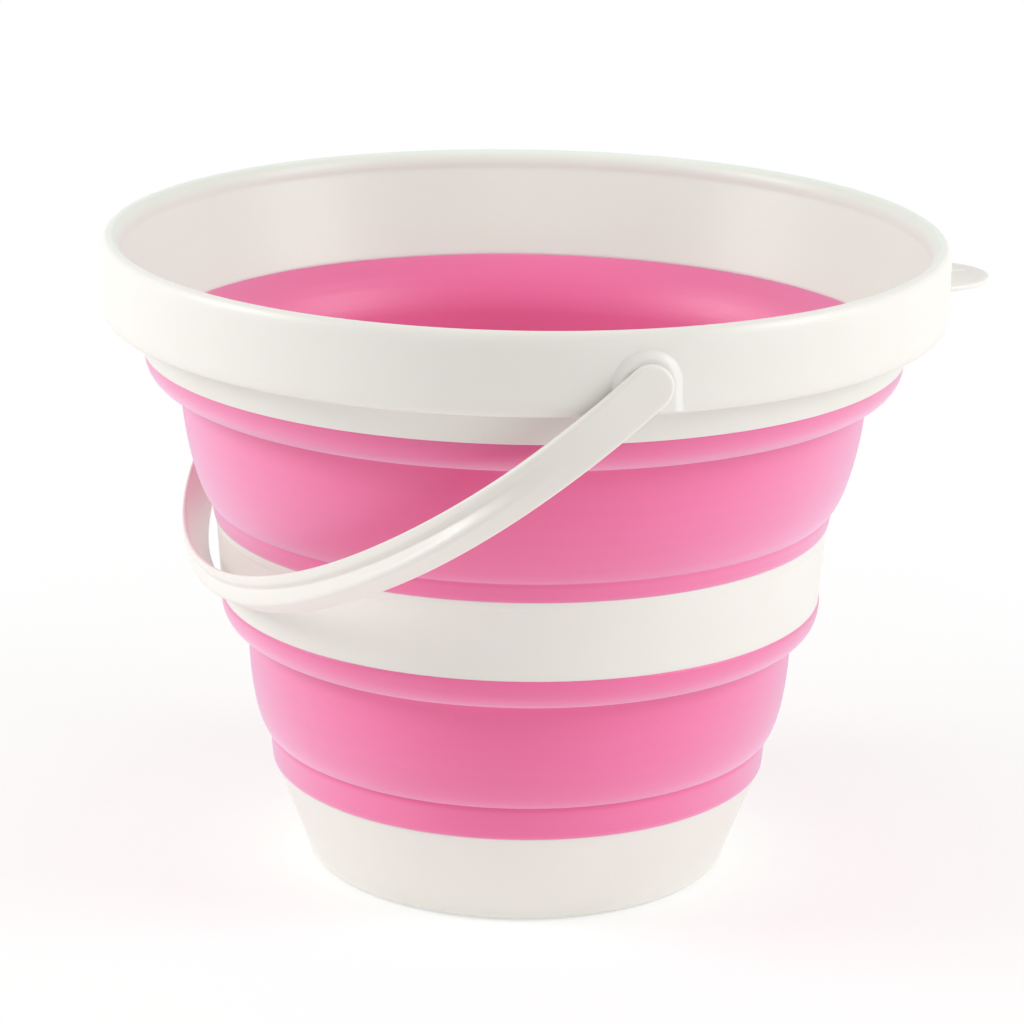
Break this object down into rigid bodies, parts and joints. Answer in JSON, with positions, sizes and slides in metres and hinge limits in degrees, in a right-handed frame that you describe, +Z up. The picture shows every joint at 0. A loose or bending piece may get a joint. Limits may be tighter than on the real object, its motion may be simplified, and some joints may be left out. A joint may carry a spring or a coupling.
{
  "type": "collapsible bucket",
  "caption": "Round collapsible bucket: rigid white rim, mid ring and base joined by pink rubber bellows that fold flat, with a swinging bail handle and a thumb tab.",
  "frame": {"origin": "middle of the flat underside of the base cup, on the floor the bucket stands on", "axes": "+Z up along the bucket's axis of turning; the handle's pivot axis is parallel to Y; the thumb tab on the rim points along +X and the handle hangs at the -X side at rest"},
  "size_m": [0.3476, 0.3308, 0.2476],
  "materials": {
    "white_polypropylene": "warm white injection-moulded polypropylene, soft satin gloss",
    "pink_rubber": "pink thermoplastic rubber, smooth and slightly translucent, soft sheen",
    "handle_polypropylene": "warm white injection-moulded polypropylene strip, soft satin gloss"
  },
  "bodies": {
    "base": {"base_cup": "white_polypropylene", "lower_collar": "pink_rubber"},
    "lower_wall": {"lower_panel": "pink_rubber"},
    "middle": {"lower_shoulder": "pink_rubber", "mid_ring": "white_polypropylene", "upper_collar": "pink_rubber"},
    "upper_wall": {"upper_panel": "pink_rubber"},
    "rim": {"upper_shoulder": "pink_rubber", "rim_frame": "white_polypropylene"},
    "bail": {"handle": "handle_polypropylene"}
  },
  "joints": [
    {"name": "lower_fold", "type": "slide", "parent": "base", "child": "middle", "axis": [0, 0, 1], "range_m": [-0.092, 0]},
    {"name": "lower_wall_fold", "type": "slide", "parent": "base", "child": "lower_wall", "axis": [0, 0, 1], "range_m": [-0.046, 0]},
    {"name": "upper_fold", "type": "slide", "parent": "middle", "child": "rim", "axis": [0, 0, 1], "range_m": [-0.096, 0]},
    {"name": "upper_wall_fold", "type": "slide", "parent": "middle", "child": "upper_wall", "axis": [0, 0, 1], "range_m": [-0.048, 0]},
    {"name": "handle_swing", "type": "hinge", "parent": "rim", "child": "bail", "pos_m": [0, 0, 0.2286], "axis": [0, 1, 0], "range_deg": [0, 218.2]}
  ],
  "couplings": [
    {"joint": "lower_wall_fold", "follows": "lower_fold", "ratio": 0.5},
    {"joint": "upper_wall_fold", "follows": "upper_fold", "ratio": 0.5}
  ]
}
